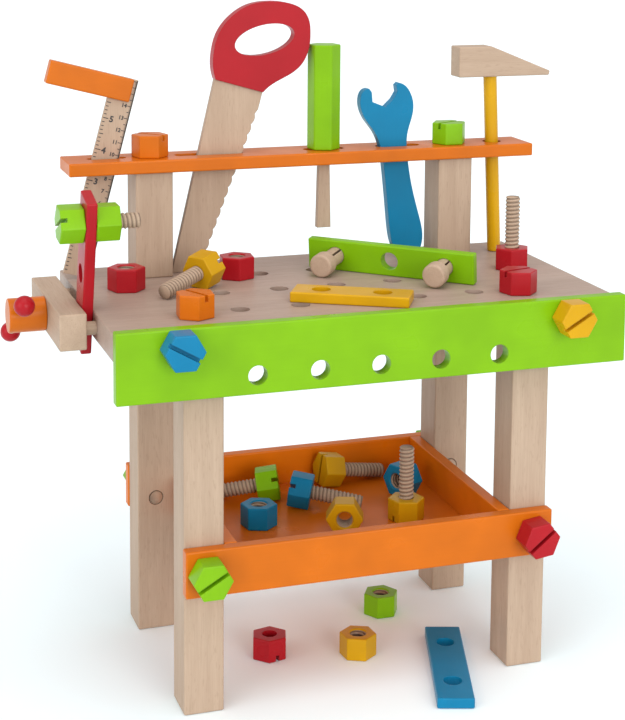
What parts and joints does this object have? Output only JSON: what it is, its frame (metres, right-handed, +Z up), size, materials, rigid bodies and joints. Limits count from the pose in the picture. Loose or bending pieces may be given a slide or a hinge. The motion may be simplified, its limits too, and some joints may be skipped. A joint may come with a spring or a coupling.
{
  "type": "toy tool bench",
  "caption": "Wooden toy workbench: bored worktop, apron, tool rack, tray, side vise, hand tools, slotted bolts, nuts, caps, strips and split pegs.",
  "frame": {"origin": "middle of the underside of the whole set's bounding box, on the floor", "axes": "+X along the bench to its right seen from the front, +Y to the back, +Z up"},
  "size_m": [0.4704, 0.2656, 0.51],
  "materials": {
    "natural_beech": "satin",
    "worktop_beech": "satin",
    "green_paint": "satin",
    "orange_paint": "satin",
    "red_paint": "satin",
    "blue_paint": "satin",
    "yellow_paint": "satin"
  },
  "bodies": {
    "bench": {"worktop": "worktop_beech", "front_apron": "green_paint", "leg_front_left": "natural_beech", "leg_front_right": "natural_beech", "leg_rear_left": "natural_beech", "leg_rear_right": "natural_beech", "front_rail": "orange_paint", "rear_rail": "orange_paint", "tray_floor": "orange_paint", "tray_wall_left": "orange_paint", "tray_wall_right": "orange_paint", "rack_post_left": "natural_beech", "rack_post_right": "natural_beech", "tool_rack": "orange_paint", "apron_bolt_left": "blue_paint", "apron_bolt_right": "yellow_paint", "rail_bolt_left": "green_paint", "rail_bolt_right": "red_paint", "rack_bolt_left": "orange_paint", "rack_bolt_right": "green_paint", "rear_bolts": "green_paint", "assembly_dowels": "natural_beech"},
    "jaw": {"vise_jaw": "natural_beech", "vise_guide_rods": "natural_beech"},
    "screw": {"vise_screw": "natural_beech", "vise_hub": "orange_paint"},
    "tommy": {"tommy_bar": "red_paint"},
    "red_strip": {"red_strip": "red_paint"},
    "strip_bolt": {"strip_bolt": "green_paint"},
    "strip_nut": {"strip_nut": "green_paint"},
    "saw": {"saw_blade": "natural_beech", "saw_handle": "red_paint"},
    "screwdriver": {"screwdriver_handle": "green_paint", "screwdriver_shank": "natural_beech"},
    "wrench": {"wrench": "blue_paint"},
    "hammer": {"hammer_head": "natural_beech", "hammer_handle": "yellow_paint"},
    "square": {"square_stock": "orange_paint", "square_blade": "natural_beech"},
    "green_strip": {"green_strip": "green_paint"},
    "peg_left": {"peg_left": "natural_beech"},
    "peg_right": {"peg_right": "natural_beech"},
    "red_nut_left": {"red_nut_left": "red_paint"},
    "red_nut_rear": {"red_nut_rear": "red_paint"},
    "orange_cap": {"orange_cap": "orange_paint"},
    "red_cap": {"red_cap": "red_paint"},
    "red_bolt_standing": {"red_bolt_standing": "red_paint"},
    "yellow_bolt_worktop": {"yellow_bolt_worktop": "yellow_paint"},
    "yellow_strip": {"yellow_strip": "yellow_paint"},
    "blue_nut_upright": {"blue_nut_upright": "blue_paint"},
    "blue_nut_lying": {"blue_nut_lying": "blue_paint"},
    "yellow_nut_lying": {"yellow_nut_lying": "yellow_paint"},
    "yellow_bolt_standing": {"yellow_bolt_standing": "yellow_paint"},
    "green_bolt_tray": {"green_bolt_tray": "green_paint"},
    "blue_bolt_tray": {"blue_bolt_tray": "blue_paint"},
    "yellow_bolt_tray": {"yellow_bolt_tray": "yellow_paint"},
    "red_cap_floor": {"red_cap_floor": "red_paint"},
    "yellow_nut_floor": {"yellow_nut_floor": "yellow_paint"},
    "green_nut_floor": {"green_nut_floor": "green_paint"},
    "blue_strip": {"blue_strip": "blue_paint"}
  },
  "joints": [
    {"name": "vise_jaw_slide", "type": "slide", "parent": "bench", "child": "jaw", "axis": [-1, 0, 0], "range_m": [0, 0.022]},
    {"name": "vise_screw_turn", "type": "hinge", "parent": "jaw", "child": "screw", "pos_m": [-0.23521, 0.02625, 0.282], "axis": [-1, 0, 0], "range_deg": [0, 2475]},
    {"name": "tommy_bar_slide", "type": "slide", "parent": "screw", "child": "tommy", "axis": [0, 0.887, -0.4617], "range_m": [-0.033, 0.006]},
    {"name": "red_strip_lift", "type": "slide", "parent": "bench", "child": "red_strip", "axis": [0, -0.2504, 0.9681], "range_m": [0, 0.07]},
    {"name": "strip_bolt_turn", "type": "hinge", "parent": "red_strip", "child": "strip_bolt", "pos_m": [-0.18706, -0.02239, 0.35921], "axis": [1, 0, 0], "range_deg": [0, 1125]},
    {"name": "strip_nut_travel", "type": "slide", "parent": "red_strip", "child": "strip_nut", "axis": [1, 0, 0], "range_m": [0, 0.01]},
    {"name": "saw_lift", "type": "slide", "parent": "bench", "child": "saw", "axis": [0.2079, 0, 0.9781], "range_m": [0, 0.105]},
    {"name": "screwdriver_lift", "type": "slide", "parent": "bench", "child": "screwdriver", "axis": [0, 0, 1], "range_m": [0, 0.07]},
    {"name": "wrench_lift", "type": "slide", "parent": "bench", "child": "wrench", "axis": [-0.0872, 0, 0.9962], "range_m": [0, 0.1]},
    {"name": "hammer_lift", "type": "slide", "parent": "bench", "child": "hammer", "axis": [-0.0454, 0, 0.999], "range_m": [0, 0.1]},
    {"name": "square_lift", "type": "slide", "parent": "bench", "child": "square", "axis": [0.2554, 0, 0.9668], "range_m": [0, 0.105]},
    {"name": "green_strip_lift", "type": "slide", "parent": "bench", "child": "green_strip", "axis": [0, 0, 1], "range_m": [0, 0.05]},
    {"name": "red_nut_left_lift", "type": "slide", "parent": "bench", "child": "red_nut_left", "axis": [0, 0, 1], "range_m": [0, 0.12]},
    {"name": "red_nut_rear_lift", "type": "slide", "parent": "bench", "child": "red_nut_rear", "axis": [0, 0, 1], "range_m": [0, 0.06]},
    {"name": "orange_cap_lift", "type": "slide", "parent": "bench", "child": "orange_cap", "axis": [0, 0, 1], "range_m": [0, 0.12]},
    {"name": "red_cap_lift", "type": "slide", "parent": "bench", "child": "red_cap", "axis": [0, 0, 1], "range_m": [0, 0.12]},
    {"name": "red_bolt_standing_lift", "type": "slide", "parent": "bench", "child": "red_bolt_standing", "axis": [0, 0, 1], "range_m": [0, 0.12]},
    {"name": "yellow_bolt_worktop_lift", "type": "slide", "parent": "bench", "child": "yellow_bolt_worktop", "axis": [0, 0, 1], "range_m": [0, 0.12]},
    {"name": "yellow_strip_lift", "type": "slide", "parent": "bench", "child": "yellow_strip", "axis": [0, 0, 1], "range_m": [0, 0.12]},
    {"name": "blue_nut_upright_lift", "type": "slide", "parent": "bench", "child": "blue_nut_upright", "axis": [0, 0, 1], "range_m": [0, 0.12]},
    {"name": "blue_nut_lying_lift", "type": "slide", "parent": "bench", "child": "blue_nut_lying", "axis": [0, 0, 1], "range_m": [0, 0.12]},
    {"name": "yellow_nut_lying_lift", "type": "slide", "parent": "bench", "child": "yellow_nut_lying", "axis": [0, 0, 1], "range_m": [0, 0.12]},
    {"name": "yellow_bolt_standing_lift", "type": "slide", "parent": "bench", "child": "yellow_bolt_standing", "axis": [0, 0, 1], "range_m": [0, 0.1]},
    {"name": "green_bolt_tray_lift", "type": "slide", "parent": "bench", "child": "green_bolt_tray", "axis": [0, 0, 1], "range_m": [0, 0.12]},
    {"name": "blue_bolt_tray_lift", "type": "slide", "parent": "bench", "child": "blue_bolt_tray", "axis": [0, 0, 1], "range_m": [0, 0.12]},
    {"name": "yellow_bolt_tray_lift", "type": "slide", "parent": "bench", "child": "yellow_bolt_tray", "axis": [0, 0, 1], "range_m": [0, 0.12]},
    {"name": "red_cap_floor_lift", "type": "slide", "parent": "bench", "child": "red_cap_floor", "axis": [0, 0, 1], "range_m": [0, 0.06]},
    {"name": "yellow_nut_floor_lift", "type": "slide", "parent": "bench", "child": "yellow_nut_floor", "axis": [0, 0, 1], "range_m": [0, 0.06]},
    {"name": "green_nut_floor_lift", "type": "slide", "parent": "bench", "child": "green_nut_floor", "axis": [0, 0, 1], "range_m": [0, 0.06]},
    {"name": "blue_strip_lift", "type": "slide", "parent": "bench", "child": "blue_strip", "axis": [0, 0, 1], "range_m": [0, 0.07]},
    {"name": "peg_left_push", "type": "slide", "parent": "green_strip", "child": "peg_left", "axis": [0.685, 0.7219, 0.0979], "range_m": [0, 0.017]},
    {"name": "peg_right_push", "type": "slide", "parent": "green_strip", "child": "peg_right", "axis": [0.685, 0.7219, 0.0979], "range_m": [0, 0.012]}
  ],
  "couplings": [
    {"joint": "vise_screw_turn", "follows": "vise_jaw_slide", "rad_per_m": 1963.5},
    {"joint": "strip_nut_travel", "follows": "strip_bolt_turn", "m_per_rad": 0.0005093}
  ]
}
